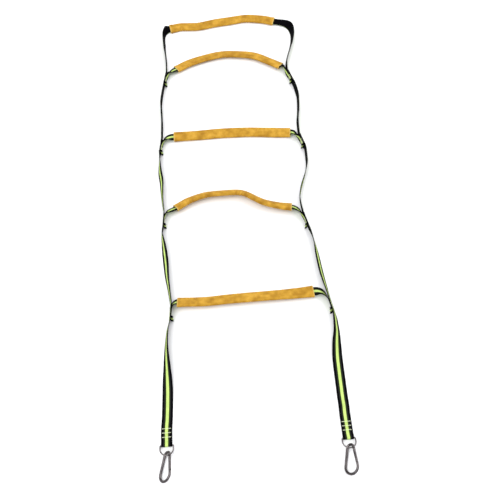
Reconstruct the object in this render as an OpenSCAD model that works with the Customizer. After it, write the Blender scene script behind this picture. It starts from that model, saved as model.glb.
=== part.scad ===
/* [Webbing] */
// Width of the webbing
web_w = 25; // [23:0.5:26]
// Thickness of the webbing
web_t = 1.8; // [1.4:0.1:2]
// Length of each rung end that is sewn along the rail
tab_l = 26; // [24:1:30]
// Length of the folded hook strap end
turn_back = 42; // [38:1:46]

/* [Sleeves] */
// Width of a leather sleeve pressed flat
sleeve_w = 33; // [32:1:36]
// Height of a leather sleeve pressed flat
sleeve_h = 9.5; // [9:0.5:12]
// Thickness of the leather
sleeve_wall = 2; // [1.5:0.1:2.4]

/* [D-rings] */
// Diameter of the ring's wire
ring_wire = 3; // [2.5:0.1:3.2]
// Clear width inside the ring, along its bar
ring_inside = 27; // [26.6:0.2:28]
// Straight side between the bar and the bow
ring_side = 8; // [7:0.5:9]

/* [Snap hooks] */
// Overall length of a snap hook
hook_l = 70; // [66:1:74]
// Overall width at the wide end
hook_w = 37; // [35:1:39]
// Diameter of the hook's wire
hook_wire = 6; // [5.6:0.1:6.2]
// Outer radius of the narrow end
hook_eye = 11; // [10.5:0.1:11.5]

/* [Sewing] */
// Width of a bar tack along the strap
tack_w = 1.6; // [1:0.1:2.2]
// Height of the thread above the webbing
tack_h = 0.5; // [0.3:0.1:0.7]

/* [Hidden] */
$fn = 48;
LEFT = 0;
RIGHT = 1;
FLAT = 90;
// Gap between the cut ends of the strap at a fold line, each side
fold_gap = 0.25;
// A rung's tab stands this far off the rail's centre
tab_gap = web_t + 0.1;
// Smooth curve steps between two listed points
web_steps = 4;
sleeve_steps = 4;

// Where each rung is sewn to the rails, for the left and the right rail:
// x, y, lean from +Y towards +X, face angle. The face angle of the striped side
// is 0 when the strap stands on edge facing outwards and 90 when it lies face up.
sewn = [
    [[-185, -304.5, 5, 12], [211.5, -313.5, -9, 20]],
    [[-197, -40.5, 5, 5], [179, -70, -12, 3]],
    [[-200.5, 199.5, 8, 0], [200, 191, -14, -4]],
    [[-183, 453.5, 11, 0], [193.5, 435, -16, -4]]
];

// Sleeve centre lines: x, y, face angle of the webbing inside
sleeve_path = [
    [[-167.5, -279, 242], [-153, -279.6, 242.5], [-97, -282, 244], [-40, -280, 245], [24, -279, 245],
     [104, -278, 250], [160, -275.6, 258], [173, -275, 260]],
    [[-164, -5, 236], [-153, 1.5, 234], [-125, 17, 230], [-81, 30, 225], [-37, 32, 225], [6, 31, 225],
     [30, 22, 222], [50, 8, 222], [75, -7, 226], [111, -19, 233], [135, -24, 238], [146, -26, 239]],
    [[-163, 240.5, 266], [-150, 240.7, 268], [-94, 241, 270], [-25, 243, 270], [45, 241, 270],
     [91, 237, 270], [137, 232, 270], [159, 230.2, 268], [171, 229, 265]],
    [[-149, 499, 258], [-138, 505, 258], [-107, 522, 257], [-56, 539, 256], [-6, 549, 256],
     [44, 546, 256], [93, 535, 256], [135, 510, 256], [159, 493.9, 256], [170.5, 486.3, 255]],
    [[-164, 674.5, -84], [-152, 676.5, -88], [-126, 681, -90], [-75, 679, -90], [-23, 689, -90],
     [29, 696, -90], [81, 702, -90], [132, 694, -90], [157, 685.7, -90], [168, 682, -89]]
];

// Each rung's corners between the sewn tab and the sleeve: x, y, face angle, lift off the floor
left_corner = [
    [[-178.5, -286.5, 203], [-176, -282.8, 221, 1], [-172, -280, 234, 2]],
    [[-190, -20, 199], [-184.5, -14, 226, 1], [-177, -9.5, 233, 2], [-170, -7, 236, 2.5]],
    [[-191.5, 221, 195], [-185.3, 230.5, 230, 1], [-178.5, 236.5, 253, 2.5], [-170, 239.8, 263, 3.5]],
    [[-173, 475, 192], [-167, 484, 230, 1], [-158, 492, 247, 3]]
];
right_corner = [
    [[179.5, -275.4, 258, 3.5], [186, -276.8, 251, 3], [192, -280.2, 239, 2], [197, -285.5, 222, 1],
     [202, -293, 206]],
    [[151, -27.3, 238, 3], [156.5, -30.5, 234, 2.5], [161.5, -36, 226, 1.5], [165.5, -42.5, 212, 1],
     [169.3, -50, 189]],
    [[176.5, 227, 257, 3.5], [180, 222.5, 241, 2], [183.5, 215, 214, 1], [190.8, 208, 185]],
    [[173.6, 483.3, 246, 3], [176, 478.5, 223, 2], [178.8, 472, 199, 1], [181.3, 464, 186],
     [184.1, 456, 177]]
];

// Lines across the ladder on which it folds, from the hook end
fold_y = [-450, -170, 85, 330, 575];

// Bars of the two D-rings: x, y
ring_bar = [[-201, -621], [205, -638]];
// Tilt of each ring off the floor, swing of the hook along the bow, hook's own yaw, pitch and roll
ring_tilt = [12.8, 12.8];
hook_swing = [4, 0];
hook_yaw = [-11, -6];
hook_pitch = [5.6, 6.3];
hook_roll = [43, 40];

web_r = ring_wire / 2 + 0.06;
loop_r = web_r + web_t;
bar_z = loop_r + 0.04;
ring_r = (ring_inside + ring_wire) / 2;
eye_r = hook_eye - hook_wire / 2;
bowl_r = (hook_w - hook_wire) / 2;
hook_d = hook_l - hook_eye - hook_w / 2;
hook_slope = asin((bowl_r - eye_r) / hook_d);
side_l = hook_d * cos(hook_slope);

// ---- curves and lofts ----

function with_lift(p) = [p[0], p[1], p[2], len(p) > 3 ? p[3] : 0];

// Point at fraction t of the smooth curve between b and c
function curve_at(a, b, c, d, t) =
    (2 * b + (c - a) * t + (2 * a - 5 * b + 4 * c - d) * t * t + (3 * b - a - 3 * c + d) * t * t * t) / 2;

function smooth(p, steps) = [
    for (i = [0:len(p) - 2], k = [0:steps - 1])
        curve_at(
            i == 0 ? 2 * p[0] - p[1] : p[i - 1], p[i], p[i + 1],
            i == len(p) - 2 ? 2 * p[i + 1] - p[i] : p[i + 2], k / steps),
    p[len(p) - 1]
];

function unit(v) = v / norm(v);
function heading(path, i) =
    let (a = path[max(i - 1, 0)], b = path[min(i + 1, len(path) - 1)])
    unit([b[0] - a[0], b[1] - a[1]]);

// How far a section turned to a face angle reaches below its centre
function reach(section, face) = max([for (s = section) s[0] * cos(face) + s[1] * sin(face)]);

// Section points placed at a path point, resting on the floor plus the point's lift
function ring_at(p, dir, section) =
    let (
        out = [-dir[1], dir[0]],
        wide = [-sin(p[2]) * out[0], -sin(p[2]) * out[1], cos(p[2])],
        face = [cos(p[2]) * out[0], cos(p[2]) * out[1], sin(p[2])],
        middle = [p[0], p[1], reach(section, p[2]) + max(p[3], 0)]
    )
    [for (s = section) middle + wide * s[0] + face * s[1]];

function rings_along(path, section) =
    [for (i = [0:len(path) - 1]) ring_at(path[i], heading(path, i), section)];

function quads(rows, m, base, flip) = [
    for (r = [0:rows - 2], k = [0:m - 1])
        let (a = base + r * m + k, b = base + r * m + (k + 1) % m, c = b + m, d = a + m)
        each (flip ? [[a, c, b], [a, d, c]] : [[a, b, c], [a, c, d]])
];

// Solid ribbon through a list of rings
module loft(rings) {
    m = len(rings[0]);
    last = (len(rings) - 1) * m;
    polyhedron(
        points = [for (r = rings) each r],
        faces = concat(
            quads(len(rings), m, 0, false),
            [for (k = [1:m - 2]) [0, k + 1, k]],
            [for (k = [1:m - 2]) [last, last + k, last + k + 1]]
        )
    );
}

// Hollow tube between two lists of rings
module loft_tube(outer, inner) {
    m = len(outer[0]);
    n = len(outer);
    base = n * m;
    last = (n - 1) * m;
    polyhedron(
        points = concat([for (r = outer) each r], [for (r = inner) each r]),
        faces = concat(
            quads(n, m, 0, false),
            quads(n, m, base, true),
            [for (k = [0:m - 1]) let (j = (k + 1) % m) each [[j, k, base + k], [j, base + k, base + j]]],
            [for (k = [0:m - 1]) let (j = (k + 1) % m, e = base + last)
                each [[last + k, last + j, e + j], [last + k, e + j, e + k]]]
        )
    );
}

web_section = [[web_w, web_t], [-web_w, web_t], [-web_w, -web_t], [web_w, -web_t]] / 2;

// Flattened tube outline: an ellipse squared off a little
function tube_section(w, h) = [
    for (k = [0:13])
        let (c = cos(k * 360 / 14 + 6), s = sin(k * 360 / 14 + 6))
        [w / 2 * sign(c) * pow(abs(c), 0.75), h / 2 * sign(s) * pow(abs(s), 0.75)]
];
// The second sleeve is rounder than the others, because it lies on edge
function sleeve_size(i) = i == 1 ? [sleeve_w - 1, sleeve_h + 4] : [sleeve_w, sleeve_h];

// ---- where the strap and the rungs run ----

// Point of the rail at a distance d from the middle of a sewn joint, towards +Y
function on_rail(i, side, d) =
    let (j = sewn[i - 1][side])
    [j[0] + d * sin(j[2]), j[1] + d * cos(j[2]), j[3], max(tab_gap * sin(j[3]), 0)];

// The same for the rung's tab, which lies on the rail's inner face or a little off it
function on_tab(i, side, d, off) =
    let (
        j = sewn[i - 1][side],
        p = on_rail(i, side, d),
        out = side == LEFT ? [-cos(j[2]), sin(j[2])] : [cos(j[2]), -sin(j[2])],
        shift = tab_gap * cos(j[3]) + off
    )
    [p[0] - shift * out[0], p[1] - shift * out[1], 180 + j[3], max(-tab_gap * sin(j[3]), 0)];

// Rail points that keep the strap straight along a sewn joint
function rail_joint(i, side) =
    [for (d = [-24, -16, 0, 16, 24]) on_rail(i, side, side == LEFT ? d : -d)];

// A rung's tab from its cut end to where it starts to leave the rail
function tab(i, side) = concat(
    [for (d = [-tab_l / 2, 0, tab_l / 2 - 8]) on_tab(i, side, d, 0)],
    [on_tab(i, side, tab_l / 2, 1)]
);
function reversed(list) = [for (k = [len(list) - 1:-1:0]) list[k]];

function sleeve_point(i, p) = [
    p[0], p[1], p[2],
    reach(tube_section(sleeve_size(i)[0], sleeve_size(i)[1]), p[2]) - reach(web_section, p[2])
];

// The long strap in eleven parts, from the left D-ring round the far rung to the right D-ring.
// Each part after the first starts on a fold line.
strap_parts = [
    [[-201, -613, FLAT, web_t], [-201, -596, FLAT, web_t], [-200, -578, FLAT, web_t],
     [-199, -568, FLAT, web_t], [-198, -549, FLAT, 0.4], [-197, -525, FLAT], [-196, -490, 80]],
    concat([[-196, fold_y[0], 52], [-196.5, -420, 36], [-196, -385, 22], [-192.5, -350, 15]],
        rail_joint(1, LEFT), [[-187, -240, 18], [-191, -205, 28]]),
    concat([[-193, fold_y[1], 36], [-196, -135, 34], [-199, -105, 22], [-201.5, -82, 9]],
        rail_joint(2, LEFT), [[-198, 20, 12], [-199, 50, 20]]),
    concat([[-200, fold_y[2], 28], [-204, 122, 24]],
        rail_joint(3, LEFT), [[-196, 245, -3], [-195, 288, -4]]),
    concat([[-196, fold_y[3], -4], [-196, 368, -3]],
        rail_joint(4, LEFT), [[-178, 510, -2], [-179, 542, -5]]),
    concat([[-182, fold_y[4], -9], [-183, 602, -12], [-184, 628, -12], [-183, 645, -14], [-178.5, 658, -22],
        [-171.5, 668, -46, 2]],
        [for (p = sleeve_path[4]) sleeve_point(4, p)],
        [[180, 679, -88, 3], [198, 672.5, -78, 2], [211, 661, -58, 1], [218.5, 645, -40], [221, 624, -27],
         [219.5, 603, -22]]),
    concat([[213.5, fold_y[4], -18], [205.5, 550, -14], [196, 522, -12], [188.5, 493, -8]],
        rail_joint(4, RIGHT), [[203, 400, -8], [207.5, 362, -9]]),
    concat([[205.5, fold_y[3], -10], [202, 300, -10], [196, 264, -8]],
        rail_joint(3, RIGHT), [[206, 150, -6], [204, 112, -6]]),
    concat([[197, fold_y[2], -2], [190, 64, 0], [182, 43, 3], [175, 20, 4], [171, -5, 4]],
        rail_joint(2, RIGHT), [[189, -112, 8], [193.5, -145, 18]]),
    concat([[195, fold_y[1], 28], [197, -200, 32], [200, -235, 32]],
        rail_joint(1, RIGHT), [[216, -352, 30], [215, -384, 42], [211, -415, 64]]),
    [[208, fold_y[0], 82], [207, -490, FLAT], [206, -540, FLAT], [206, -564, FLAT, 0.4],
     [205, -583, FLAT, web_t], [205, -595, FLAT, web_t], [205, -612, FLAT, web_t], [205, -630, FLAT, web_t]]
];
strap_path = smooth([for (part = strap_parts) each [for (p = part) with_lift(p)]], web_steps);

function points_before(k) = k == 0 ? 0 : len(strap_parts[k - 1]) + points_before(k - 1);

// One part of the strap, cut back a little from the fold lines at its ends
module strap_part(k) {
    first = points_before(k) * web_steps;
    last = k == 10 ? len(strap_path) - 1 : points_before(k + 1) * web_steps;
    rings = [
        for (i = [first:last])
            let (
                dir = heading(strap_path, i),
                pull = i == first && k > 0 ? fold_gap : i == last && k < 10 ? -fold_gap : 0,
                p = strap_path[i]
            )
            ring_at([p[0] + pull * dir[0], p[1] + pull * dir[1], p[2], p[3]], dir, web_section)
    ];
    color([0.1, 0.1, 0.12]) loft(rings);
}

// ---- rungs ----

module rung_webbing(i) {
    path = smooth(concat(
        tab(i, LEFT),
        [for (p = left_corner[i - 1]) with_lift(p)],
        [for (p = sleeve_path[i - 1]) sleeve_point(i - 1, p)],
        [for (p = right_corner[i - 1]) with_lift(p)],
        reversed(tab(i, RIGHT))
    ), web_steps);
    color([0.55, 0.65, 0.25]) loft(rings_along(path, web_section));
}

module sleeve(i) {
    size = sleeve_size(i - 1);
    path = smooth([for (p = sleeve_path[i - 1]) with_lift(p)], sleeve_steps);
    outer = tube_section(size[0], size[1]);
    bore = tube_section(size[0] - 2 * sleeve_wall, size[1] - 2 * sleeve_wall);
    lifted = [for (p = path) [p[0], p[1], p[2], reach(outer, p[2]) - reach(bore, p[2])]];
    color([0.84, 0.62, 0.2]) loft_tube(rings_along(path, outer), rings_along(lifted, bore));
}

// A bar of thread lying across the striped side of the webbing
module tack(p, dir) {
    out = [-dir[1], dir[0]];
    lean = atan2(out[1], out[0]);
    z = reach(web_section, p[2]) + p[3];
    translate([p[0], p[1], z]) rotate([0, 0, lean]) rotate([0, -p[2], 0])
        translate([web_t / 2 + 0.01 + tack_h / 2, 0, 0]) cube([tack_h, tack_w, web_w - 6], center = true);
}

module rung_tacks(i) {
    color([0.85, 0.88, 0.7])
    for (side = [LEFT, RIGHT], d = [-10, -4, 2]) {
        lean = sewn[i - 1][side][2];
        dir = side == LEFT ? [sin(lean), cos(lean)] : [-sin(lean), -cos(lean)];
        tack(on_rail(i, side, d), dir);
        tack(on_tab(i, side, d, 0), dir);
    }
}

// ---- hook straps ----

// The strap's end: a loop round the ring's bar and the layer folded back underneath
module hook_strap(side, k) {
    strap_part(k);
    color([0.1, 0.1, 0.12]) translate([ring_bar[side][0] - web_w / 2, ring_bar[side][1], 0])
    rotate([90, 0, 90]) linear_extrude(web_w) difference() {
        union() {
            hull() {
                translate([0, bar_z]) circle(loop_r);
                translate([7.8, 0]) square([0.4, 2 * web_t]);
            }
            translate([8, 0]) square([turn_back - 8, web_t]);
        }
        translate([0, bar_z]) circle(web_r);
        polygon([[1, bar_z + 1.1], [6.5, web_t + 0.1], [6.5, web_t], [1, bar_z - 1.1]]);
    }
}

module hook_tacks(side) {
    color([0.85, 0.88, 0.7])
    for (d = [18, 27.5, 37])
        translate([ring_bar[side][0] + (side == LEFT ? 0.4 : 0.3) * (d - 8) / 29, ring_bar[side][1] + d,
                   2 * web_t + tack_h / 2 + 0.01])
            cube([web_w - 5, tack_w, tack_h], center = true);
}

// ---- D-rings ----

module in_ring(side) {
    translate([ring_bar[side][0], ring_bar[side][1], bar_z]) rotate([-ring_tilt[side], 0, 0]) children();
}

module d_ring(side) {
    bend = 2.5;
    r = ring_wire / 2;
    color([0.75, 0.75, 0.77]) in_ring(side) {
        rotate([0, 90, 0]) cylinder(h = 2 * (ring_r - bend), r = r, center = true);
        for (s = [-1, 1]) {
            translate([s * (ring_r - bend), -bend, 0]) rotate([0, 0, s > 0 ? 0 : 90])
                rotate_extrude(angle = 90) translate([bend, 0]) circle(r);
            translate([s * ring_r, -ring_side, 0]) rotate([-90, 0, 0]) cylinder(h = ring_side - bend, r = r);
        }
        translate([0, -ring_side, 0]) rotate([0, 0, 180]) rotate_extrude(angle = 180)
            translate([ring_r, 0]) circle(r);
    }
}

// ---- snap hooks ----
// In a hook's own frame the narrow eye is centred on the origin, the wide end lies towards -Y
// and the gate is on the +X side.

pivot_q = 6;
latch_q = side_l - 2;
gate_end_q = side_l - 0.6;
tongue_t = 2.4;
tongue_r = 2.6;
nose_w = 4.6;
slot_t = 2.7;
pin_r = 1;
pin_l = 5.6;
bore_r = 1.6;
bore_end_q = 22;
plunger_l = 3.5;
plunger_q = pivot_q + tongue_r + 0.1;

module in_hook(side) {
    in_ring(side) translate([0, -ring_side, 0]) rotate([0, 0, hook_swing[side]])
        translate([0, -ring_r - 1, 0]) rotate([hook_pitch[side], 0, 0]) rotate([0, 0, hook_yaw[side]])
        rotate([0, -hook_roll[side], 0]) children();
}

// Frame of the gate side: the origin on the eye, -Y along the gate towards the nose
module on_gate_side() {
    rotate([0, 0, hook_slope]) translate([eye_r, 0, 0]) children();
}

// Section of the hook's wire at distance r from a centre, in the direction phi
function wire_ring(centre, r, phi) = [
    for (k = [0:15])
        let (b = k * 360 / 16, out = r + hook_wire / 2 * cos(b))
        [centre[0] + out * cos(phi), centre[1] + out * sin(phi), hook_wire / 2 * sin(b)]
];

// The wire runs from the hinge stub round the eye, down the spine and round the bowl to the nose
hook_rings = concat(
    [wire_ring([sin(hook_slope), -cos(hook_slope)] * (pivot_q - 3.6), eye_r, hook_slope)],
    [for (k = [0:12]) wire_ring([0, 0], eye_r, hook_slope + k * (180 - 2 * hook_slope) / 12)],
    [for (k = [0:18]) wire_ring([0, -hook_d], bowl_r, 180 - hook_slope + k * (180 + 2 * hook_slope) / 18)]
);

module snap_hook(side) {
    color([0.78, 0.78, 0.8]) in_hook(side) difference() {
        union() {
            loft(hook_rings);
            on_gate_side() {
                // flat tongue of the gate's hinge
                translate([0, -pivot_q, 0]) cylinder(h = tongue_t, r = tongue_r, center = true);
                translate([-tongue_r, -pivot_q, -tongue_t / 2]) cube([2 * tongue_r, pivot_q - 1, tongue_t]);
                // flat tongue of the nose
                translate([-nose_w / 2, -side_l - 1, -tongue_t / 2]) cube([nose_w, 5, tongue_t]);
            }
        }
        on_gate_side() {
            translate([0, -pivot_q, 0]) cylinder(h = 20, r = pin_r, center = true);
            translate([0, -latch_q, 0]) cylinder(h = 20, r = pin_r, center = true);
        }
    }
}

module gate(side) {
    r = hook_wire / 2;
    color([0.7, 0.7, 0.73]) in_hook(side) on_gate_side() difference() {
        union() {
            translate([0, -pivot_q, 0]) rotate([90, 0, 0]) cylinder(h = gate_end_q - pivot_q, r = r);
            intersection() {
                translate([0, -pivot_q + 4, 0]) rotate([90, 0, 0]) cylinder(h = 8, r = r);
                translate([0, -pivot_q, 0]) cylinder(h = hook_wire, r = r, center = true);
            }
        }
        // fork over the hinge tongue
        translate([-r - 1, -pivot_q - 3.2, -slot_t / 2]) cube([2 * r + 2, 10, slot_t]);
        translate([0, -pivot_q, 0]) cylinder(h = 20, r = pin_r + 0.06, center = true);
        // fork over the nose, and the notch that takes the latch pin from outside
        translate([-r - 1, -gate_end_q - 1, -slot_t / 2]) cube([2 * r + 2, 7, slot_t]);
        translate([0, -latch_q, 0]) cylinder(h = 20, r = pin_r + 0.15, center = true);
        translate([0, -latch_q - pin_r - 0.15, -10]) cube([r + 1, 2 * pin_r + 0.3, 20]);
        // bore for the spring and plunger
        translate([0, -pivot_q - tongue_r, 0]) rotate([90, 0, 0])
            cylinder(h = bore_end_q - pivot_q - tongue_r, r = bore_r);
    }
}

module gate_rivet(side) {
    color([0.6, 0.6, 0.62]) in_hook(side) on_gate_side()
        translate([0, -pivot_q, 0]) cylinder(h = pin_l, r = pin_r, center = true);
}

module latch_pin(side) {
    color([0.6, 0.6, 0.62]) in_hook(side) on_gate_side()
        translate([0, -latch_q, 0]) cylinder(h = pin_l - 0.4, r = pin_r, center = true);
}

module plunger(side) {
    color([0.65, 0.6, 0.45]) in_hook(side) on_gate_side()
        translate([0, -plunger_q, 0]) rotate([90, 0, 0]) cylinder(h = plunger_l, r = bore_r - 0.15);
}

module gate_spring(side) {
    wire = 0.25;
    coil = bore_r - wire - 0.1;
    top = plunger_q + plunger_l + wire + 0.05;
    length = bore_end_q - top - wire - 0.05;
    turns = 5;
    steps = turns * 8;
    color([0.5, 0.5, 0.52]) in_hook(side) on_gate_side() loft([
        for (i = [0:steps])
            let (a = i * 45, y = -top - length * i / steps)
            [for (k = [0:3]) let (b = -k * 90)
                [(coil + wire * cos(b)) * cos(a), y + wire * sin(b), (coil + wire * cos(b)) * sin(a)]]
    ]);
}

hook_strap(LEFT, 0);  // left_hook_strap
strap_part(1);  // left_rail_1
strap_part(2);  // left_rail_2
strap_part(3);  // left_rail_3
strap_part(4);  // left_rail_4
strap_part(5);  // end_loop
strap_part(6);  // right_rail_4
strap_part(7);  // right_rail_3
strap_part(8);  // right_rail_2
strap_part(9);  // right_rail_1
hook_strap(RIGHT, 10);  // right_hook_strap
rung_webbing(1);  // rung_webbing_1
rung_webbing(2);  // rung_webbing_2
rung_webbing(3);  // rung_webbing_3
rung_webbing(4);  // rung_webbing_4
sleeve(1);  // sleeve_1
sleeve(2);  // sleeve_2
sleeve(3);  // sleeve_3
sleeve(4);  // sleeve_4
sleeve(5);  // sleeve_5
rung_tacks(1);  // rung_tacks_1
rung_tacks(2);  // rung_tacks_2
rung_tacks(3);  // rung_tacks_3
rung_tacks(4);  // rung_tacks_4
hook_tacks(LEFT);  // left_hook_tacks
hook_tacks(RIGHT);  // right_hook_tacks
d_ring(LEFT);  // left_d_ring
d_ring(RIGHT);  // right_d_ring
snap_hook(LEFT);  // left_snap_hook
gate(LEFT);  // left_gate
gate_rivet(LEFT);  // left_gate_rivet
latch_pin(LEFT);  // left_latch_pin
gate_spring(LEFT);  // left_gate_spring
plunger(LEFT);  // left_plunger
snap_hook(RIGHT);  // right_snap_hook
gate(RIGHT);  // right_gate
gate_rivet(RIGHT);  // right_gate_rivet
latch_pin(RIGHT);  // right_latch_pin
gate_spring(RIGHT);  // right_gate_spring
plunger(RIGHT);  // right_plunger
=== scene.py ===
"""A rope ladder of flat striped webbing, with a leather sleeve on each rung and a snap hook on a
D-ring at each lower end, lying on a pale floor. Routes are in millimetres, meshes in metres."""
import math

import bmesh
import bpy
import numpy as np
from mathutils import Matrix, Vector


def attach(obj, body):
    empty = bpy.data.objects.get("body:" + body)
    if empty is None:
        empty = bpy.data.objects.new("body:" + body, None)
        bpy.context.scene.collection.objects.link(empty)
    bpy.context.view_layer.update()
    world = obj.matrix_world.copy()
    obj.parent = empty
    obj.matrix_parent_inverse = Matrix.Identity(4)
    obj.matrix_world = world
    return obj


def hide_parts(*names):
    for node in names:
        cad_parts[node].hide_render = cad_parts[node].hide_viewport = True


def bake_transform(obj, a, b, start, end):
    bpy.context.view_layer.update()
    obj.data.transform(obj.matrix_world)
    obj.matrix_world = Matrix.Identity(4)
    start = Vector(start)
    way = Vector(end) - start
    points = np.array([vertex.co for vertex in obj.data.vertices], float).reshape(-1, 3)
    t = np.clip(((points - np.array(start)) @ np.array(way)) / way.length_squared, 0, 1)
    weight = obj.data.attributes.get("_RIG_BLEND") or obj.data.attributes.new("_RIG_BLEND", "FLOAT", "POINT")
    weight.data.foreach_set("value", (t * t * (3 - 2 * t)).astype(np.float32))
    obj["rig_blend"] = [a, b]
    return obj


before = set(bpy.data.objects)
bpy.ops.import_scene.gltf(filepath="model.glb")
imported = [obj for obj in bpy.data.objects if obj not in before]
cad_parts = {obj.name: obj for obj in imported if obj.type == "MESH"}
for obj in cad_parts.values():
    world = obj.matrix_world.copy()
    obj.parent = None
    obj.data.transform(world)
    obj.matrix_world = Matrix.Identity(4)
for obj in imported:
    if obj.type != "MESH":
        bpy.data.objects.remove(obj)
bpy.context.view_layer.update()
scene = bpy.context.scene

MM = 0.001
PI = math.pi
UP = np.array([0, 0, 1.0])
LEFT, RIGHT = 0, 1
SIGN = (1, -1)  # of the left and of the right side
FLAT = 90  # face angle of webbing that lies flat, stripe upwards
WEB_W, WEB_T = 25.0, 1.8
WEB_STEP = 1.25  # between the samples along a length of webbing
TAB_L = 26.0
TAB_GAP = WEB_T + 0.1  # from the middle of a rail to the middle of the tab on it
LEATHER_T = 1.8
RING_WIRE, RING_R, RING_SIDE, RING_BEND = 3.0, 15.0, 8.0, 2.5
BAR_Z = 3.4  # height of a D-ring's bar
BAR_WRAP = RING_WIRE / 2 + 0.06 + WEB_T / 2  # radius of the strap's middle round the bar
HOOK_WIRE, EYE_R, BOWL_R, HOOK_D = 6.0, 8.0, 15.5, 40.5
HOOK_SLOPE = math.asin((BOWL_R - EYE_R) / HOOK_D)
SIDE_L = HOOK_D * math.cos(HOOK_SLOPE)
TONGUE_W, TONGUE_T = 2.6, 2.4  # half width and thickness of the tongues beside the gate

CAMERA_AT = (-0.040, -0.926, 1.458)  # in metres
CAMERA_HEADING, CAMERA_DIP, CAMERA_ANGLE = 4.7, 61.64, 42.86  # in degrees


# ---- camera ----

def make_camera():
    """Looks from the hook end, steeply down and a little to the right."""
    heading, dip = math.radians(CAMERA_HEADING), math.radians(CAMERA_DIP)
    level = math.cos(dip)
    look = Vector((math.sin(heading) * level, math.cos(heading) * level, -math.sin(dip)))
    data = bpy.data.cameras.new("camera")
    data.angle = math.radians(CAMERA_ANGLE)
    data.clip_end = 50
    camera = bpy.data.objects.new("camera", data)
    camera.location = CAMERA_AT
    camera.rotation_euler = look.to_track_quat("-Z", "Y").to_euler()
    scene.collection.objects.link(camera)
    scene.camera = camera


make_camera()

# ---- routes, as in the CAD ----

# Sewn joints of the four lower rungs, left and right: x, y, lean, face angle
SEWN = [
    [(-185, -304.5, 5, 12), (211.5, -313.5, -9, 20)],
    [(-197, -40.5, 5, 5), (179, -70, -12, 3)],
    [(-200.5, 199.5, 8, 0), (200, 191, -14, -4)],
    [(-183, 453.5, 11, 0), (193.5, 435, -16, -4)],
]

# Sleeve centre lines: x, y, face angle of the webbing inside
SLEEVE_PATH = [
    [(-167.5, -279, 242), (-153, -279.6, 242.5), (-97, -282, 244), (-40, -280, 245),
     (24, -279, 245), (104, -278, 250), (160, -275.6, 258), (173, -275, 260)],
    [(-164, -5, 236), (-153, 1.5, 234), (-125, 17, 230), (-81, 30, 225), (-37, 32, 225),
     (6, 31, 225), (30, 22, 222), (50, 8, 222), (75, -7, 226), (111, -19, 233),
     (135, -24, 238), (146, -26, 239)],
    [(-163, 240.5, 266), (-150, 240.7, 268), (-94, 241, 270), (-25, 243, 270), (45, 241, 270),
     (91, 237, 270), (137, 232, 270), (159, 230.2, 268), (171, 229, 265)],
    [(-149, 499, 258), (-138, 505, 258), (-107, 522, 257), (-56, 539, 256), (-6, 549, 256),
     (44, 546, 256), (93, 535, 256), (135, 510, 256), (159, 493.9, 256), (170.5, 486.3, 255)],
    [(-164, 674.5, -84), (-152, 676.5, -88), (-126, 681, -90), (-75, 679, -90), (-23, 689, -90),
     (29, 696, -90), (81, 702, -90), (132, 694, -90), (157, 685.7, -90), (168, 682, -89)],
]
SLEEVE_SIZE = [(33, 9.5), (32, 13.5), (33, 9.5), (33, 9.5), (33, 9.5)]  # width, height

# Corners of each lower rung between its tab and its sleeve: x, y, face angle, lift
LEFT_CORNER = [
    [(-178.5, -286.5, 203), (-176, -282.8, 221, 1), (-172, -280, 234, 2)],
    [(-190, -20, 199), (-184.5, -14, 226, 1), (-177, -9.5, 233, 2), (-170, -7, 236, 2.5)],
    [(-191.5, 221, 195), (-185.3, 230.5, 230, 1), (-178.5, 236.5, 253, 2.5),
     (-170, 239.8, 263, 3.5)],
    [(-173, 475, 192), (-167, 484, 230, 1), (-158, 492, 247, 3)],
]
RIGHT_CORNER = [
    [(179.5, -275.4, 258, 3.5), (186, -276.8, 251, 3), (192, -280.2, 239, 2), (197, -285.5, 222, 1),
     (202, -293, 206)],
    [(151, -27.3, 238, 3), (156.5, -30.5, 234, 2.5), (161.5, -36, 226, 1.5), (165.5, -42.5, 212, 1),
     (169.3, -50, 189)],
    [(176.5, 227, 257, 3.5), (180, 222.5, 241, 2), (183.5, 215, 214, 1), (190.8, 208, 185)],
    [(173.6, 483.3, 246, 3), (176, 478.5, 223, 2), (178.8, 472, 199, 1), (181.3, 464, 186),
     (184.1, 456, 177)],
]

JOINT_AT = (-24, -16, 0, 16, 24)  # route points of a rail along a sewn joint
TAIL = ((4.5, 6), (4, 2.8), (1.5, 0.5))  # how far a tab's tail runs past it, and stands off
RUNG_TACKS, RUNG_TACK_L = (-10, -4, 2), 20  # from the middle of a sewn joint, and length
HOOK_TACKS, HOOK_TACK_L = (18, 27.5, 37), 20.5  # from the bar of the D-ring, and length

RING_BAR = [(-201, -621), (205, -638)]  # middle of each D-ring's bar
RING_TILT = math.radians(12.8)
HOOK_TURNS = [(4, 5.6, -11, 43), (0, 6.3, -6, 40)]  # swing, pitch, yaw and roll of each hook
END_DRIFT = (0.4, 0.3)  # sideways shift of each end of the strap over DRIFT_L
DRIFT_FROM, DRIFT_L = 8, 29


def on_rail(rung, side, d):
    """Route point of the rail at d mm from the middle of a sewn joint, towards +Y."""
    x, y, lean, face = SEWN[rung][side]
    lean = math.radians(lean)
    return (x + d * math.sin(lean), y + d * math.cos(lean), face,
            max(TAB_GAP * math.sin(math.radians(face)), 0))


def on_tab(rung, side, d, off):
    """The same for the rung's tab, which stands off mm from the rail's inner face."""
    x, y, face, _ = on_rail(rung, side, d)
    lean, angle = math.radians(SEWN[rung][side][2]), math.radians(face)
    shift = SIGN[side] * (TAB_GAP * math.cos(angle) + off)
    return (x + shift * math.cos(lean), y - shift * math.sin(lean), 180 + face,
            max(-TAB_GAP * math.sin(angle), 0))


def rail_joint(rung, side):
    """Route of the strap past a sewn joint, up the left side or down the right one."""
    return [on_rail(rung, side, SIGN[side] * d) for d in JOINT_AT]


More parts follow.
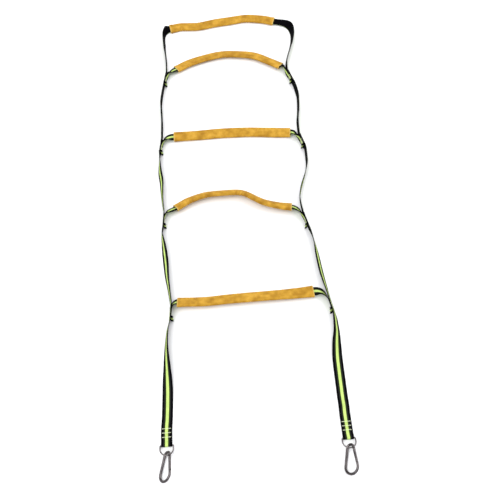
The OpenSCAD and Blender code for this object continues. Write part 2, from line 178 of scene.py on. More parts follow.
def tab(rung, side):
    """A rung's tab from its curled tail to where it starts to leave the rail."""
    tail = [on_tab(rung, side, -TAB_L / 2 - d, off) for d, off in TAIL]
    sewn = [on_tab(rung, side, d, 0) for d in (-TAB_L / 2 + 2, 0, TAB_L / 2 - 8)]
    return tail + sewn + [on_tab(rung, side, TAB_L / 2, 1)]


# The long strap, from ring to ring: x, y, face angle, lift
STRAP = (
    [(-201, -613, FLAT, WEB_T), (-201, -596, FLAT, WEB_T), (-200, -578, FLAT, WEB_T),
     (-199, -568, FLAT, WEB_T), (-198, -549, FLAT, 0.4), (-197, -525, FLAT), (-196, -490, 80),
     (-196, -450, 52), (-196.5, -420, 36), (-196, -385, 22), (-192.5, -350, 15)]
    + rail_joint(0, LEFT)
    + [(-187, -240, 18), (-191, -205, 28), (-193, -170, 36), (-196, -135, 34), (-199, -105, 22),
       (-201.5, -82, 9)]
    + rail_joint(1, LEFT)
    + [(-198, 20, 12), (-199, 50, 20), (-200, 85, 28), (-204, 122, 24)]
    + rail_joint(2, LEFT)
    + [(-196, 245, -3), (-195, 288, -4), (-196, 330, -4), (-196, 368, -3)]
    + rail_joint(3, LEFT)
    + [(-178, 510, -2), (-179, 542, -5), (-182, 575, -9), (-183, 602, -12), (-184, 628, -12),
       (-183, 645, -14), (-178.5, 658, -22), (-171.5, 668, -46, 2)]
    + [(x, y, face, 3.85) for x, y, face in SLEEVE_PATH[4]]
    + [(180, 679, -88, 3), (198, 672.5, -78, 2), (211, 661, -58, 1), (218.5, 645, -40),
       (221, 624, -27), (219.5, 603, -22), (213.5, 575, -18), (205.5, 550, -14), (196, 522, -12),
       (188.5, 493, -8)]
    + rail_joint(3, RIGHT)
    + [(203, 400, -8), (207.5, 362, -9), (205.5, 330, -10), (202, 300, -10), (196, 264, -8)]
    + rail_joint(2, RIGHT)
    + [(206, 150, -6), (204, 112, -6), (197, 85, -2), (190, 64, 0), (182, 43, 3), (175, 20, 4),
       (171, -5, 4)]
    + rail_joint(1, RIGHT)
    + [(189, -112, 8), (193.5, -145, 18), (195, -170, 28), (197, -200, 32), (200, -235, 32)]
    + rail_joint(0, RIGHT)
    + [(216, -352, 30), (215, -384, 42), (211, -415, 64), (208, -450, 82), (207, -490, FLAT),
       (206, -540, FLAT), (206, -564, FLAT, 0.4), (205, -583, FLAT, WEB_T),
       (205, -595, FLAT, WEB_T), (205, -612, FLAT, WEB_T), (205, -630, FLAT, WEB_T)]
)


# ---- curves ----

def smooth(points, step):
    """Samples the smooth curve through the points, x, y, angle and lift, about every step mm."""
    p = np.array([list(q) + [0.0] * (4 - len(q)) for q in points], float)
    p = np.vstack([2 * p[0] - p[1], p, 2 * p[-1] - p[-2]])
    out = []
    for a, b, c, d in zip(p[:-3], p[1:-2], p[2:-1], p[3:]):
        n = max(2, round(float(np.linalg.norm(c[:2] - b[:2])) / step))
        t = np.arange(n)[:, None] / n
        out.append((2 * b + (c - a) * t + (2 * a - 5 * b + 4 * c - d) * t**2
                    + (3 * b - a - 3 * c + d) * t**3) / 2)
    return np.vstack(out + [p[-2][None]])


def run_length(points):
    """Distance along a line at each of its points."""
    return np.concatenate([[0], np.cumsum(np.linalg.norm(np.diff(points, axis=0), axis=1))])


def unit(v):
    return v / np.linalg.norm(v, axis=-1, keepdims=True)


def averaged(values, passes):
    """A running average along a list of numbers that keeps its two ends."""
    for _ in range(passes):
        inner = (values[:-2] + 2 * values[1:-1] + values[2:]) / 4
        values = np.concatenate([values[:1], inner, values[-1:]])
    return values


def frames_along(route, reach):
    """Middle, width direction and face direction at each point of a route on the floor.
    reach gives how far the section goes below its middle at a face angle."""
    t = unit(np.gradient(route[:, :2], axis=0))
    a = np.radians(route[:, 2])[:, None]
    out = np.stack([-t[:, 1], t[:, 0], np.zeros(len(t))], axis=1)
    wide = -np.sin(a) * out + np.cos(a) * UP
    face = np.cos(a) * out + np.sin(a) * UP
    z = averaged(reach(a[:, 0]) + np.maximum(route[:, 3], 0), 6)
    return np.column_stack([route[:, :2], z]), wide, face


def web_reach(a):
    """How far webbing goes below its middle at face angle a."""
    return WEB_W / 2 * np.abs(np.cos(a)) + WEB_T / 2 * np.abs(np.sin(a))


def turn(count):
    """Angles of count points round a circle."""
    return np.arange(count) * 2 * PI / count


def sleeve_outline(w, h, count):
    """Outline of a sleeve: an ellipse squared off a little."""
    b = turn(count) + math.radians(6)

    def squared(v):
        return np.sign(v) * np.abs(v) ** 0.75

    return np.column_stack([w / 2 * squared(np.cos(b)), h / 2 * squared(np.sin(b))])


def outline_reach(outline):
    """How far an outline goes below its middle, as a function of the face angle."""
    return lambda a: np.max(outline[:, :1] * np.cos(a) + outline[:, 1:] * np.sin(a), axis=0)


# ---- meshes ----

def make_object(name, vertices, faces, material, **attributes):
    """A smooth mesh object from vertices in mm, with named number attributes on its points."""
    mesh = bpy.data.meshes.new(name)
    mesh.from_pydata([tuple(v) for v in np.asarray(vertices) * MM], [], faces)
    for key, values in attributes.items():
        layer = mesh.attributes.new(key, "FLOAT", "POINT")
        layer.data.foreach_set("value", np.asarray(values, np.float32))
    work = bmesh.new()
    work.from_mesh(mesh)
    bmesh.ops.recalc_face_normals(work, faces=work.faces)
    work.to_mesh(mesh)
    work.free()
    mesh.polygons.foreach_set("use_smooth", [True] * len(mesh.polygons))
    mesh.materials.append(material)
    obj = bpy.data.objects.new(name, mesh)
    scene.collection.objects.link(obj)
    return obj


class Build:
    """Collects several closed shells into one mesh."""

    def __init__(self):
        self.vertices, self.faces, self.attributes = [], [], {}

    def shell(self, rings, closed=False, **attributes):
        """Adds a tube of rings, capped unless it closes on itself."""
        n, m = rings.shape[:2]
        base = len(self.vertices)
        self.vertices.extend(rings.reshape(-1, 3))
        for key, values in attributes.items():
            self.attributes.setdefault(key, []).extend(np.broadcast_to(values, (n, m)).reshape(-1))
        for r in range(n if closed else n - 1):
            a, b = base + r * m, base + (r + 1) % n * m
            self.faces.extend((a + k, a + (k + 1) % m, b + (k + 1) % m, b + k) for k in range(m))
        if not closed:
            self.faces.append(tuple(range(base, base + m)))
            self.faces.append(tuple(range(base + (n - 1) * m, base + n * m)))
        return self

    def make(self, name, material):
        return make_object(name, self.vertices, self.faces, material, **self.attributes)


def tube_rings(points, radius, sides, up, closed=False):
    """Rings of a round tube along points; up is a direction that the path never follows."""
    points = np.asarray(points, float)
    if closed:
        t = unit(np.roll(points, -1, axis=0) - np.roll(points, 1, axis=0))
    else:
        t = unit(np.gradient(points, axis=0))
    side = unit(np.cross(t, up))
    lift = np.cross(side, t)
    b = turn(sides)
    radius = np.broadcast_to(radius, len(points))[:, None, None]
    return (points[:, None] + radius * np.cos(b)[None, :, None] * side[:, None]
            + radius * np.sin(b)[None, :, None] * lift[:, None])


def moved(points, matrix):
    """The points carried by a 4 by 4 matrix."""
    m = np.array(matrix)
    return points @ m[:3, :3].T + m[:3, 3]


# ---- materials ----

def srgb(r, g, b):
    """A colour given as 0 to 255 screen values."""
    def linear(v):
        v /= 255
        return v / 12.92 if v <= 0.04045 else ((v + 0.055) / 1.055) ** 2.4
    return (linear(r), linear(g), linear(b), 1)


class Shader:
    """A material with one Principled shader, and short ways to add nodes to it."""

    def __init__(self, name, **sockets):
        self.material = bpy.data.materials.new(name)
        self.material.use_nodes = True
        self.tree = self.material.node_tree
        self.surface = self.tree.nodes["Principled BSDF"]
        for key, value in sockets.items():
            self.surface.inputs[key.replace("_", " ")].default_value = value

    def node(self, kind, **settings):
        node = self.tree.nodes.new(kind)
        for key, value in settings.items():
            setattr(node, key, value)
        return node

    def put(self, socket, value):
        if isinstance(value, bpy.types.NodeSocket):
            self.tree.links.new(value, socket)
        else:
            socket.default_value = value

    def attribute(self, name):
        return self.node("ShaderNodeAttribute", attribute_name=name).outputs["Fac"]

    def math(self, operation, a, b=0.0):
        node = self.node("ShaderNodeMath", operation=operation)
        self.put(node.inputs[0], a)
        self.put(node.inputs[1], b)
        return node.outputs[0]

    def noise(self, scale, detail=3.0, stretch=(1, 1, 1)):
        node = self.node("ShaderNodeTexNoise")
        node.inputs["Scale"].default_value = scale
        node.inputs["Detail"].default_value = detail
        place = self.node("ShaderNodeMapping")
        place.inputs["Scale"].default_value = stretch
        self.put(place.inputs["Vector"], self.node("ShaderNodeTexCoord").outputs["Object"])
        self.put(node.inputs["Vector"], place.outputs["Vector"])
        return node.outputs["Fac"]

    def ramp(self, value, stops):
        node = self.node("ShaderNodeValToRGB")
        while len(node.color_ramp.elements) < len(stops):
            node.color_ramp.elements.new(1)
        for element, (position, colour) in zip(node.color_ramp.elements, stops):
            element.position = position
            element.color = colour if len(colour) == 4 else (*colour, 1)
        self.put(node.inputs["Fac"], value)
        return node.outputs["Color"]

    def mix(self, factor, a, b, how="MIX"):
        node = self.node("ShaderNodeMix", data_type="RGBA", blend_type=how)
        self.put(node.inputs["Factor"], factor)
        self.put(node.inputs["A"], a)
        self.put(node.inputs["B"], b)
        return node.outputs["Result"]

    def spread(self, value, low, high):
        """Stretches a 0 to 1 value to low to high."""
        node = self.node("ShaderNodeMapRange")
        self.put(node.inputs["Value"], value)
        node.inputs["To Min"].default_value = low
        node.inputs["To Max"].default_value = high
        return node.outputs["Result"]

    def bump(self, height, strength, distance):
        node = self.node("ShaderNodeBump")
        node.inputs["Strength"].default_value = strength
        node.inputs["Distance"].default_value = distance
        self.put(node.inputs["Height"], height)
        self.put(self.surface.inputs["Normal"], node.outputs["Normal"])


def grey(v):
    return (v, v, v)


RIB, PICK = 0.62, 0.9  # spacing of the weave across and along the webbing, in mm


def webbing_material():
    """Woven webbing: a fluorescent middle stripe between olive, dark grey and black bands, with painted
    shade between the yarns.
    """
    s = Shader("striped_webbing")
    s.surface.inputs["Specular IOR Level"].default_value = 0.03
    across = s.attribute("across")
    rib = s.math("ABSOLUTE", s.math("SINE", s.math("MULTIPLY", across, PI / RIB)))
    row = s.math("MULTIPLY", s.math("FLOOR", s.math("DIVIDE", across, RIB)), PI / 2)
    pick = s.math("ADD", s.math("MULTIPLY", s.attribute("along"), PI / PICK), row)
    pick = s.math("ABSOLUTE", s.math("SINE", pick))
    weave = s.math("MULTIPLY", rib, s.spread(pick, 0.45, 1.0))
    band = s.math("DIVIDE", s.math("ABSOLUTE", s.attribute("stripe")), WEB_W / 2)
    uneven = s.math("MULTIPLY", s.math("SUBTRACT", s.noise(900), 0.5), 0.03)
    lime, olive = srgb(212, 240, 136), srgb(52, 64, 30)
    dark, black = srgb(40, 41, 41), srgb(5, 4, 7)
    bands = [(0.0, lime), (0.245, lime), (0.285, olive), (0.40, olive), (0.44, dark), (0.58, dark),
             (0.62, black), (1.0, black)]
    colour = s.ramp(s.math("ADD", band, uneven), bands)
    # painted shade: the colour is darkened down to half in the hollows between the yarns
    weave_shade = s.ramp(weave, [(0.0, grey(0.5)), (0.5, grey(0.95)), (1.0, grey(1.0))])
    worn = s.ramp(s.noise(70, 4), [(0.35, grey(0.86)), (0.65, grey(1.0))])
    s.put(s.surface.inputs["Base Color"],
          s.mix(1.0, s.mix(1.0, colour, weave_shade, "MULTIPLY"), worn, "MULTIPLY"))
    s.put(s.surface.inputs["Roughness"], s.spread(s.noise(500), 0.65, 0.85))
    s.bump(weave, 0.6, 0.0004)
    return s.material


def leather_material():
    """Golden suede: mottled, napped, paler at its cut ends, with painted shade in its creases."""
    s = Shader("suede_leather", Roughness=0.9, Sheen_Weight=0.2, Sheen_Roughness=0.6)
    s.surface.inputs["Specular IOR Level"].default_value = 0.2
    s.surface.inputs["Sheen Tint"].default_value = srgb(214, 176, 100)
    golds = [(0.32, srgb(154, 109, 25)), (0.5, srgb(180, 134, 39)), (0.68, srgb(202, 155, 56))]
    mottle = s.ramp(s.noise(55, 6), golds)
    nap = s.ramp(s.noise(1400, 4), [(0.3, grey(0.86)), (0.7, grey(1.0))])
    colour = s.mix(1.0, mottle, nap, "MULTIPLY")
    # painted shade: a darker gold mixed in by the sleeve's crease mask, in wrinkles, bends and inside the
    # tube
    colour = s.mix(s.attribute("crease"), colour, srgb(146, 96, 24))
    colour = s.mix(s.attribute("cut"), colour, srgb(206, 176, 104))
    s.put(s.surface.inputs["Base Color"], colour)
    s.put(s.surface.inputs["Roughness"], s.spread(s.noise(260), 0.8, 0.97))
    grain = s.math("ADD", s.math("MULTIPLY", s.noise(1100, 5), 0.5), s.noise(240, 4))
    s.bump(grain, 0.45, 0.0006)
    return s.material


def thread_material():
    """Pale twisted sewing thread."""
    s = Shader("sewing_thread", Roughness=0.6, Sheen_Weight=0.2)
    s.put(s.surface.inputs["Base Color"],
          s.ramp(s.noise(1500), [(0.3, srgb(196, 205, 160)), (0.7, srgb(238, 244, 214))]))
    s.bump(s.noise(2500), 0.3, 0.0002)
    return s.material


def metal_material(name, low, high, roughness, worn=60):
    """Plated or bare metal, clouded from low to high and finely scratched."""
    s = Shader(name, Metallic=1.0)
    s.put(s.surface.inputs["Base Color"], s.ramp(s.noise(worn, 5), [(0.3, low), (0.7, high)]))
    gloss = s.spread(s.noise(220, 6), roughness - 0.05, roughness + 0.09)
    s.put(s.surface.inputs["Roughness"], gloss)
    s.bump(s.noise(600, 6, (1, 0.12, 1)), 0.06, 0.0002)
    return s.material


WEBBING = webbing_material()
LEATHER = leather_material()
THREAD = thread_material()
HOOK_STEEL = metal_material("plated_hook_steel", srgb(58, 54, 55), srgb(122, 116, 116), 0.12)
RING_STEEL = metal_material("plated_ring_steel", srgb(66, 62, 63), srgb(132, 126, 126), 0.11)
GATE_STEEL = metal_material("plated_gate_steel", srgb(56, 52, 53), srgb(116, 110, 110), 0.14)
PIN_STEEL = metal_material("pin_steel", srgb(150, 148, 146), srgb(190, 188, 186), 0.32, 200)
BRASS = metal_material("plunger_brass", srgb(150, 120, 62), srgb(190, 158, 92), 0.3, 200)


# ---- webbing ----

SELVEDGE, FLAT_HALF = 0.75, 7.5  # width of the rounded edge, half width of the thicker middle
WEAVE_RELIEF = 0.05
FRAYS, FRAY_RADIUS = 26, 0.16  # loose threads at each raw end


def webbing_section(striped_back):
    """Outline of the webbing, as across, up and stripe position, and which points are woven."""
    half = WEB_W / 2
    columns = np.linspace(-half + SELVEDGE, half - SELVEDGE, 21)
    up = WEB_T / 2 - 0.18 * (np.abs(columns) / half) ** 6 - 0.06 * (np.abs(columns) > FLAT_HALF)
    edge = [(half - 0.2, 0.5), (half, 0.0), (half - 0.2, -0.5)]
    face = [(x, u, x) for x, u in zip(columns, up)]
    back = [(x, -u, x if striped_back else half) for x, u in zip(columns[::-1], up[::-1])]
    right = [(x, u, half) for x, u in edge]
    left = [(-x, -u, -half) for x, u in edge]
    weave = [1] * len(face) + [0] * 3 + [1] * len(back) + [0] * 3
    return np.array(face + right + back + left), np.array(weave)


SECTION, WOVEN = webbing_section(False)
RUNG_SECTION, _ = webbing_section(True)


def ribbon(name, middle, wide, face, frayed=(), section=SECTION):
    """A length of webbing, its weave raised on both sides. The ends in frayed, 0 or -1, are raw."""
    run = run_length(middle)
    check = (np.arange(len(run))[:, None] + np.arange(len(section))[None, :]) % 2 * 2 - 1
    relief = WEAVE_RELIEF * check * WOVEN * np.sign(section[:, 1])
    rings = (middle[:, None] + wide[:, None] * section[None, :, :1]
             + face[:, None] * (section[None, :, 1] + relief)[..., None])
    work = Build().shell(rings, stripe=section[:, 2], across=section[:, 0], along=run[:, None])
    dice = np.random.default_rng(7)
    for end in frayed:
        ahead = unit(middle[end] - middle[1 if end == 0 else -2])
        for _ in range(FRAYS):
            x, u = dice.uniform(-12, 12), dice.uniform(-0.6, 0.6)
            start = middle[end] + wide[end] * x + face[end] * u - ahead * 0.4
            bend = wide[end] * dice.uniform(-0.5, 0.5) + face[end] * dice.uniform(-0.45, 0.45)
            length = dice.uniform(1.0, 2.8)
            s = np.linspace(0, 1, 5)[:, None]
            line = start + ahead * length * s + bend * length * s**2
            strand = tube_rings(line, FRAY_RADIUS, 5, wide[end])
            work.shell(strand, stripe=x, across=x, along=0.0)
    return work.make(name, WEBBING)


def end_drift(side, d):
    """Sideways shift of a strap's end, d mm from the ring's bar."""
    return END_DRIFT[side] * (d - DRIFT_FROM) / DRIFT_L


def loop_end(side):
    """The strap's end as middle, wide and face, in the strap's own direction. It runs between the
    cut under-layer and the top layer, round the D-ring's bar."""
    x, y = RING_BAR[side]
    bends = [math.radians(b) for b in range(-90, 66, 15)]
    wrap = [(-BAR_WRAP * math.cos(b), BAR_Z + BAR_WRAP * math.sin(b)) for b in bends]
    under = [(d, 0.92) for d in (42, 32, 22, 12, 5)]
    top = [(2.6, BAR_Z + 1.98), (4.6, BAR_Z + 0.85), (8.4, 2.75)]
    line = smooth([(*p, 0) for p in under + wrap + top], 0.7)[:-1, :2]
    t = np.column_stack([np.zeros(len(line)), unit(np.gradient(line, axis=0))])
    drift = end_drift(side, line[:, 0]) * (line[:, 0] > DRIFT_FROM)
    middle = np.column_stack([x + drift, y + line[:, 0], line[:, 1]])
    wide = np.tile([float(SIGN[side]), 0, 0], (len(line), 1))
    face = np.cross(wide, SIGN[side] * t)
    return tuple(part[::SIGN[side]] for part in (middle, wide, face))


def make_strap():
    """The long strap, in one piece per bay, each bending over its own fold line."""
    route = frames_along(smooth(STRAP, WEB_STEP), web_reach)
    parts = [loop_end(LEFT), route, loop_end(RIGHT)]
    middle, wide, face = (np.vstack([p[k] for p in parts]) for k in range(3))

    def cut_at(i, side):
        away = middle[:, :2] - np.array(SEWN[i][side][:2])
        return int(np.argmin(np.linalg.norm(away, axis=1)))

    cuts = ([0] + [cut_at(i, LEFT) for i in range(4)]
            + [cut_at(i, RIGHT) for i in (3, 2, 1, 0)] + [len(middle) - 1])
    # Name, the two bodies, start and end of the bend along Y, and the CAD nodes replaced
    bays = [
        ("strap_left_hook_bay", "strap_left", "rung_1", -510, -400,
         ["left_hook_strap", "left_rail_1"]),
        ("strap_left_bay_1", "rung_1", "rung_2", -235, -112, ["left_rail_1", "left_rail_2"]),
        ("strap_left_bay_2", "rung_2", "rung_3", 25, 145, ["left_rail_2", "left_rail_3"]),
        ("strap_left_bay_3", "rung_3", "rung_4", 265, 392, ["left_rail_3", "left_rail_4"]),
        ("strap_end_loop", "rung_4", "rung_5", 515, 635,
         ["left_rail_4", "end_loop", "right_rail_4"]),
        ("strap_right_bay_3", "rung_3", "rung_4", 265, 392, ["right_rail_4", "right_rail_3"]),
        ("strap_right_bay_2", "rung_2", "rung_3", 25, 145, ["right_rail_3", "right_rail_2"]),
        ("strap_right_bay_1", "rung_1", "rung_2", -235, -112, ["right_rail_2", "right_rail_1"]),
        ("strap_right_hook_bay", "strap_right", "rung_1", -510, -400,
         ["right_rail_1", "right_hook_strap"]),
    ]
    for (name, a, b, start, end, nodes), first, last in zip(bays, cuts[:-1], cuts[1:]):
        span = slice(first, last + 1)
        frayed = [0] if first == 0 else [-1] if last == len(middle) - 1 else []
        piece = ribbon(name, middle[span], wide[span], face[span], frayed)
        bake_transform(piece, a, b, start=(0, start * MM, 0), end=(0, end * MM, 0))
        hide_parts(*nodes)


def make_rung_webbing(i):
    """A lower rung: its two sewn tabs, their corners and the webbing through the sleeve."""
    reach = outline_reach(sleeve_outline(*SLEEVE_SIZE[i], 14))
    inside = []
    for x, y, face in SLEEVE_PATH[i]:
        a = np.array([math.radians(face)])
        inside.append((x, y, face, float(reach(a)[0] - web_reach(a)[0])))
    route = tab(i, LEFT) + LEFT_CORNER[i] + inside + RIGHT_CORNER[i] + tab(i, RIGHT)[::-1]
    middle, wide, face = frames_along(smooth(route, WEB_STEP), web_reach)
    name = f"rung_{i + 1}_webbing"
    piece = ribbon(name, middle, wide, face, frayed=[0, -1], section=RUNG_SECTION)
    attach(piece, f"rung_{i + 1}")
    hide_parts(f"rung_webbing_{i + 1}")


# ---- leather sleeves ----

SLEEVE_SIDES, SLEEVE_STEP = 56, 1.5
SWELLS = (170, 95, 55, 31)  # lengths of the waves in a sleeve's fullness
WRINKLES, CRIMP_PITCH = 46, 9.5
CLEAR_OUTSIDE, CLEAR_INSIDE = 0.05, 1.2  # lowest the leather's outer and inner faces may come


def bell(distance, width):
    """1 at no distance, falling to almost nothing past the width."""
    return np.exp(-(distance / width) ** 2)


def make_sleeve(i):
    """A soft suede tube over a rung: wrinkled, creased where it bends, with raw cut ends."""
    w, h = SLEEVE_SIZE[i]
    outline = sleeve_outline(w, h, SLEEVE_SIDES)
    bore = sleeve_outline(w - 2 * LEATHER_T, h - 2 * LEATHER_T, SLEEVE_SIDES)
    route = smooth(SLEEVE_PATH[i], SLEEVE_STEP)
    middle, wide, face = frames_along(route, outline_reach(outline))
    run = run_length(middle)
    length = run[-1]
    grid = (len(run), SLEEVE_SIDES)
    dice = np.random.default_rng(20 + i)
    s, b = run[:, None], turn(SLEEVE_SIDES)[None, :]

    swell = np.zeros(len(run))
    for wave in SWELLS:
        swell += wave / SWELLS[0] * np.sin(run * 2 * PI / wave + dice.uniform(0, 6.3))
    wrinkle = np.zeros(grid)
    for _ in range(WRINKLES):
        at, aim = dice.uniform(8, length - 8), dice.uniform(0, 2 * PI)
        lean = dice.uniform(-9, 9)
        wide_s, wide_b = dice.uniform(1.6, 4.5), dice.uniform(0.35, 1.1)
        depth = dice.uniform(0.2, 0.75)
        off = (b - aim + PI) % (2 * PI) - PI
        past = s - at - lean * off
        fold = np.exp(-((past / wide_s) ** 2) - (off / wide_b) ** 2)
        wrinkle -= depth * fold * (1 - 1.4 * bell(past - wide_s, wide_s))
    heading = np.arctan2(np.gradient(route[:, 1]), np.gradient(route[:, 0]))
    bent = averaged(np.gradient(np.unwrap(heading), run), 40)
    inner_side = np.maximum(np.cos(b) * np.sign(bent)[:, None], 0)
    crimp = np.minimum(np.abs(bent) * 120, 1.3)[:, None] * inner_side
    crimp = crimp * (0.35 + 0.65 * np.sin(s * 2 * PI / CRIMP_PITCH + 1.5 * np.sin(b)))
    flare = bell(run, 7) + bell(length - run, 7)

    scale = 1 + 0.022 * swell / 2 + 0.03 * flare
    push = 0.9 * wrinkle - 0.8 * crimp
    direction = unit(np.column_stack([outline[:, 0] / w, outline[:, 1] / h]))

    def place(section):
        return middle[:, None] + wide[:, None] * section[..., :1] + face[:, None] * section[..., 1:]

    outside = place(outline[None] * scale[:, None, None] + direction[None] * push[..., None])
    outside[..., 2] = np.maximum(outside[..., 2], CLEAR_OUTSIDE)
    inside = place(bore[None] * scale[:, None, None])
    inside[..., 2] = np.maximum(inside[..., 2], CLEAR_INSIDE)
    lip = 0.5 * (outside[[0, -1]] + inside[[0, -1]])
    lip += 0.35 * np.stack([unit(middle[0] - middle[1]), unit(middle[-1] - middle[-2])])[:, None]
    rings = np.concatenate([outside, lip[1:], inside[::-1], lip[:1]])

    # painted shade for the suede: strongest in wrinkle hollows and bend crimps, at half strength over the
    # whole inner face
    crease = np.clip(-(wrinkle * 0.8) + crimp * 0.5, 0, 1) * 0.75
    rim = np.zeros((1, SLEEVE_SIDES))
    crease = np.concatenate([crease, rim, np.full(grid, 0.5), rim])
    edge = np.broadcast_to((bell(run, 1.8) + bell(length - run, 1.8))[:, None], grid)
    cut = np.concatenate([edge, rim + 1, edge[::-1] * 0.6, rim + 1])
    work = Build().shell(rings, closed=True, crease=crease, cut=np.clip(cut, 0, 1))
    piece = work.make(f"sleeve_{i + 1}_suede", LEATHER)
    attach(piece, f"rung_{i + 1}")
    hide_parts(f"sleeve_{i + 1}")
    make_seam(i, outside, middle, run)


STITCH_L, STITCH_PITCH, STITCH_RADIUS = 2.8, 4.1, 0.28
STITCH_RISE = (-0.3, 0.22, 0.34, 0.34, 0.22, -0.3)  # height over the leather along a stitch


def make_seam(i, surface, middle, run):
    """The line of stitches that closes the sleeve along its far lower side."""
    side = surface - middle[:, None]
    line = surface[:, np.argmin((side[..., 2] - 0.5 * side[..., 1]).mean(axis=0))]
    out = unit(line - middle)
    work = Build()
    at = 5.0
    while at + STITCH_L < run[-1] - 4:
        s = np.linspace(at, at + STITCH_L, len(STITCH_RISE))
        p = np.column_stack([np.interp(s, run, line[:, k]) for k in range(3)])
        n = np.column_stack([np.interp(s, run, out[:, k]) for k in range(3)])
        stitch = p + n * np.array(STITCH_RISE)[:, None]
        stitch[:, 2] = np.maximum(stitch[:, 2], 0.35)
        work.shell(tube_rings(stitch, STITCH_RADIUS, 6, n[2]))
        at += STITCH_PITCH
    piece = work.make(f"sleeve_{i + 1}_seam", THREAD)
    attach(piece, f"rung_{i + 1}")


# ---- sewing ----

TACK_PITCH, TACK_HALF, TACK_RISE, TACK_RADIUS = 0.85, 0.85, 0.36, 0.24


def bar_tack(work, middle, across, along, up, length):
    """A satin-stitched bar: thread going to and fro over a short length of webbing."""
    points = []
    for k in range(int(length / TACK_PITCH)):
        u = -length / 2 + k * TACK_PITCH
        points += [(u, -TACK_HALF, 0.0), (u + TACK_PITCH / 4, 0, TACK_RISE),
                   (u + TACK_PITCH / 2, TACK_HALF, 0.0), (u + 3 * TACK_PITCH / 4, 0, TACK_RISE)]
    p = np.array(points)
    path = middle + p[:, :1] * across + p[:, 1:2] * along + p[:, 2:] * up
    work.shell(tube_rings(path, TACK_RADIUS, 6, up))


def make_rung_tacks(i):
    """Three bar tacks on both sides of each sewn joint of a rung."""
    work = Build()
    for side in (LEFT, RIGHT):
        lean = math.radians(SEWN[i][side][2])
        t = SIGN[side] * np.array([math.sin(lean), math.cos(lean), 0])
        out = np.array([-t[1], t[0], 0])
        for d in RUNG_TACKS:
            for x, y, angle, lift in (on_rail(i, side, d), on_tab(i, side, d, 0)):
                a = math.radians(angle)
                wide = -math.sin(a) * out + math.cos(a) * UP
                face = math.cos(a) * out + math.sin(a) * UP
                at = np.array([x, y, float(web_reach(a)) + lift]) + face * WEB_T / 2
                bar_tack(work, at, wide, t, face, RUNG_TACK_L)
    piece = work.make(f"rung_{i + 1}_bar_tacks", THREAD)
    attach(piece, f"rung_{i + 1}")
    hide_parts(f"rung_tacks_{i + 1}")


def make_hook_tacks(side, name):
    """Three bar tacks through the folded end of the strap."""
    work = Build()
    x, y = RING_BAR[side]
    for d in HOOK_TACKS:
        at = np.array([x + end_drift(side, d), y + d, 2 * WEB_T])
        bar_tack(work, at, np.array([1.0, 0, 0]), np.array([0, 1.0, 0]), UP, HOOK_TACK_L)
    piece = work.make(f"{name}_strap_bar_tacks", THREAD)
    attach(piece, f"strap_{name}")
    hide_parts(f"{name}_hook_tacks")


# ---- metal ----

def ring_place(side):
    """Where a D-ring lies: the middle of its bar, tipped down at the bow."""
    x, y = RING_BAR[side]
    return Matrix.Translation((x, y, BAR_Z)) @ Matrix.Rotation(-RING_TILT, 4, "X")


def hook_place(side):
    """Where a snap hook lies: the middle of its eye, hung in the ring's bow."""
    swing, pitch, yaw, roll = (math.radians(v) for v in HOOK_TURNS[side])
    return (ring_place(side) @ Matrix.Translation((0, -RING_SIDE, 0))
            @ Matrix.Rotation(swing, 4, "Z") @ Matrix.Translation((0, -RING_R - 1, 0))
            @ Matrix.Rotation(pitch, 4, "X") @ Matrix.Rotation(yaw, 4, "Z")
            @ Matrix.Rotation(-roll, 4, "Y"))


def arc(centre, r, first, last, count):
    """Points of an arc in the XY plane, between two angles."""
    b = np.linspace(first, last, count)
    return np.column_stack([centre[0] + r * np.cos(b), centre[1] + r * np.sin(b), np.zeros(count)])


def make_ring(side, name):
    """A D-ring of round wire: straight bar, rounded corners and a half-round bow."""
    c = RING_R - RING_BEND
    bar = np.linspace(-c, c, 24)[1:-1, None] * [1, 0, 0]
    path = np.vstack([
        bar, arc((c, -RING_BEND), RING_BEND, PI / 2, 0, 9),
        arc((0, -RING_SIDE), RING_R, 0, -PI, 60), arc((-c, -RING_BEND), RING_BEND, PI, PI / 2, 9),
    ])
    rings = moved(tube_rings(path, RING_WIRE / 2, 20, UP, closed=True), ring_place(side))
    piece = Build().shell(rings, closed=True).make(f"{name}_d_ring_wire", RING_STEEL)
    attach(piece, f"ring_{name}")
    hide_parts(f"{name}_d_ring")


def tongue(outline):
    """A flat plate with softened edges, as rings from one side to the other."""
    outline = np.array(outline)
    centre = outline.mean(axis=0)
    levels = [(-0.5, 0.9), (-0.42, 1.0), (0.42, 1.0), (0.5, 0.9)]
    return np.array([[(*(centre + (p - centre) * k), z * TONGUE_T) for p in outline]
                     for z, k in levels])


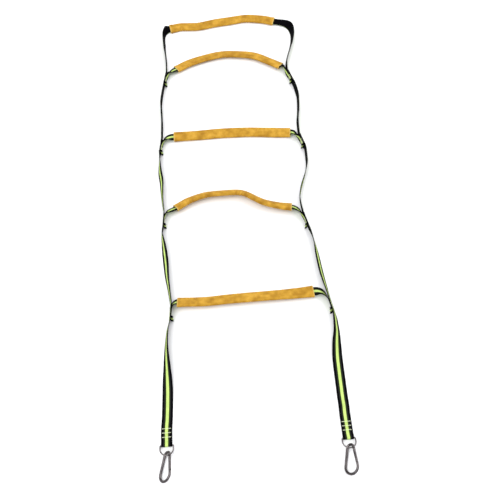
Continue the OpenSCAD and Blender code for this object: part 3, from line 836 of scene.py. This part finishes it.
def make_hook(side, name):
    """The snap hook: its wire from the hinge stub round the eye and the bowl to the nose, and the
    two tongues that the gate closes on."""
    slope, place = HOOK_SLOPE, hook_place(side)
    out = np.array([math.cos(slope), math.sin(slope), 0])
    back = np.array([math.sin(slope), -math.cos(slope), 0])
    end = out * BOWL_R - [0, HOOK_D, 0]
    path = np.vstack([
        [out * EYE_R + back * d for d in (2.4, 2.3, 1.8, 1.0)],
        arc((0, 0), EYE_R, slope, PI - slope, 34),
        arc((0, -HOOK_D), BOWL_R, PI - slope, 2 * PI + slope, 60)[:-1],
        [end, end - back * 0.6, end - back * 0.75],
    ])
    radius = np.full(len(path), HOOK_WIRE / 2)
    radius[[0, -1]] -= 0.55
    radius[[1, -2]] -= 0.12
    work = Build().shell(moved(tube_rings(path, radius, 24, UP), place))
    gate_side = place @ Matrix.Rotation(slope, 4, "Z") @ Matrix.Translation((EYE_R, 0, 0))
    hinge_end = [(TONGUE_W * math.sin(b), -6 - TONGUE_W * math.cos(b))
                 for b in np.linspace(-PI / 2, PI / 2, 13)]
    work.shell(moved(tongue(hinge_end + [(TONGUE_W, -1), (-TONGUE_W, -1)]), gate_side))
    tip = -SIDE_L
    nose_end = [(-2.3, tip - 1), (2.3, tip - 1), (2.3, tip + 3.3), (1.7, tip + 4), (-1.7, tip + 4),
                (-2.3, tip + 3.3)]
    work.shell(moved(tongue(nose_end), gate_side))
    piece = work.make(f"{name}_snap_hook_wire", HOOK_STEEL)
    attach(piece, f"hook_{name}")
    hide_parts(f"{name}_snap_hook")


def finish_small_metal(name):
    """Materials of the CAD nodes that show as they are."""
    looks = {"gate": GATE_STEEL, "gate_rivet": PIN_STEEL, "latch_pin": PIN_STEEL,
             "gate_spring": PIN_STEEL, "plunger": BRASS}
    for part, material in looks.items():
        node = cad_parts[f"{name}_{part}"]
        for slot in node.material_slots:
            slot.material = material


# ---- floor and light ----

FLOOR_HALF, FLOOR_Z = 9000, -0.2
SKY = [(0.25, (0.6, 0.6, 0.61, 1)), (0.6, (0.93, 0.94, 0.97, 1))]  # by height, low to high
SKY_STRENGTH = 0.95
LIGHTS = [  # name, place, size and power
    ("key", (-1.2, -0.9, 2.6), 2.4, 50),
    ("fill", (1.7, 0.6, 2.4), 2.6, 34),
    ("far", (0.1, 2.3, 2.2), 2.0, 26),
]


def make_stage():
    """A plain pale floor under an even sky, with three soft lamps."""
    square = ((-1, -1), (1, -1), (1, 1), (-1, 1))
    corners = [(x * FLOOR_HALF, y * FLOOR_HALF, FLOOR_Z) for x, y in square]
    paint = Shader("pale_floor", Base_Color=(0.9, 0.9, 0.9, 1), Roughness=0.9).material
    floor = make_object("floor", corners, [(0, 1, 2, 3)], paint)
    world = bpy.data.worlds.new("studio")
    world.use_nodes = True
    nodes, links = world.node_tree.nodes, world.node_tree.links
    height, ramp = nodes.new("ShaderNodeSeparateXYZ"), nodes.new("ShaderNodeValToRGB")
    links.new(nodes.new("ShaderNodeTexCoord").outputs["Generated"], height.inputs["Vector"])
    links.new(height.outputs["Z"], ramp.inputs["Fac"])
    for stop, (position, colour) in zip(ramp.color_ramp.elements, SKY):
        stop.position = position
        stop.color = colour
    links.new(ramp.outputs["Color"], nodes["Background"].inputs["Color"])
    nodes["Background"].inputs["Strength"].default_value = SKY_STRENGTH
    scene.world = world
    for name, place, size, power in LIGHTS:
        light = bpy.data.lights.new(name, "AREA")
        light.size = size
        light.energy = power
        lamp = bpy.data.objects.new(name, light)
        lamp.location = place
        lamp.rotation_euler = (-Vector(place)).to_track_quat("-Z", "Y").to_euler()
        scene.collection.objects.link(lamp)
    scene.view_settings.view_transform = "Standard"


make_strap()
for rung in range(4):
    make_rung_webbing(rung)
    make_rung_tacks(rung)
for rung in range(5):
    make_sleeve(rung)
for side, name in ((LEFT, "left"), (RIGHT, "right")):
    make_hook_tacks(side, name)
    make_ring(side, name)
    make_hook(side, name)
    finish_small_metal(name)
make_stage()
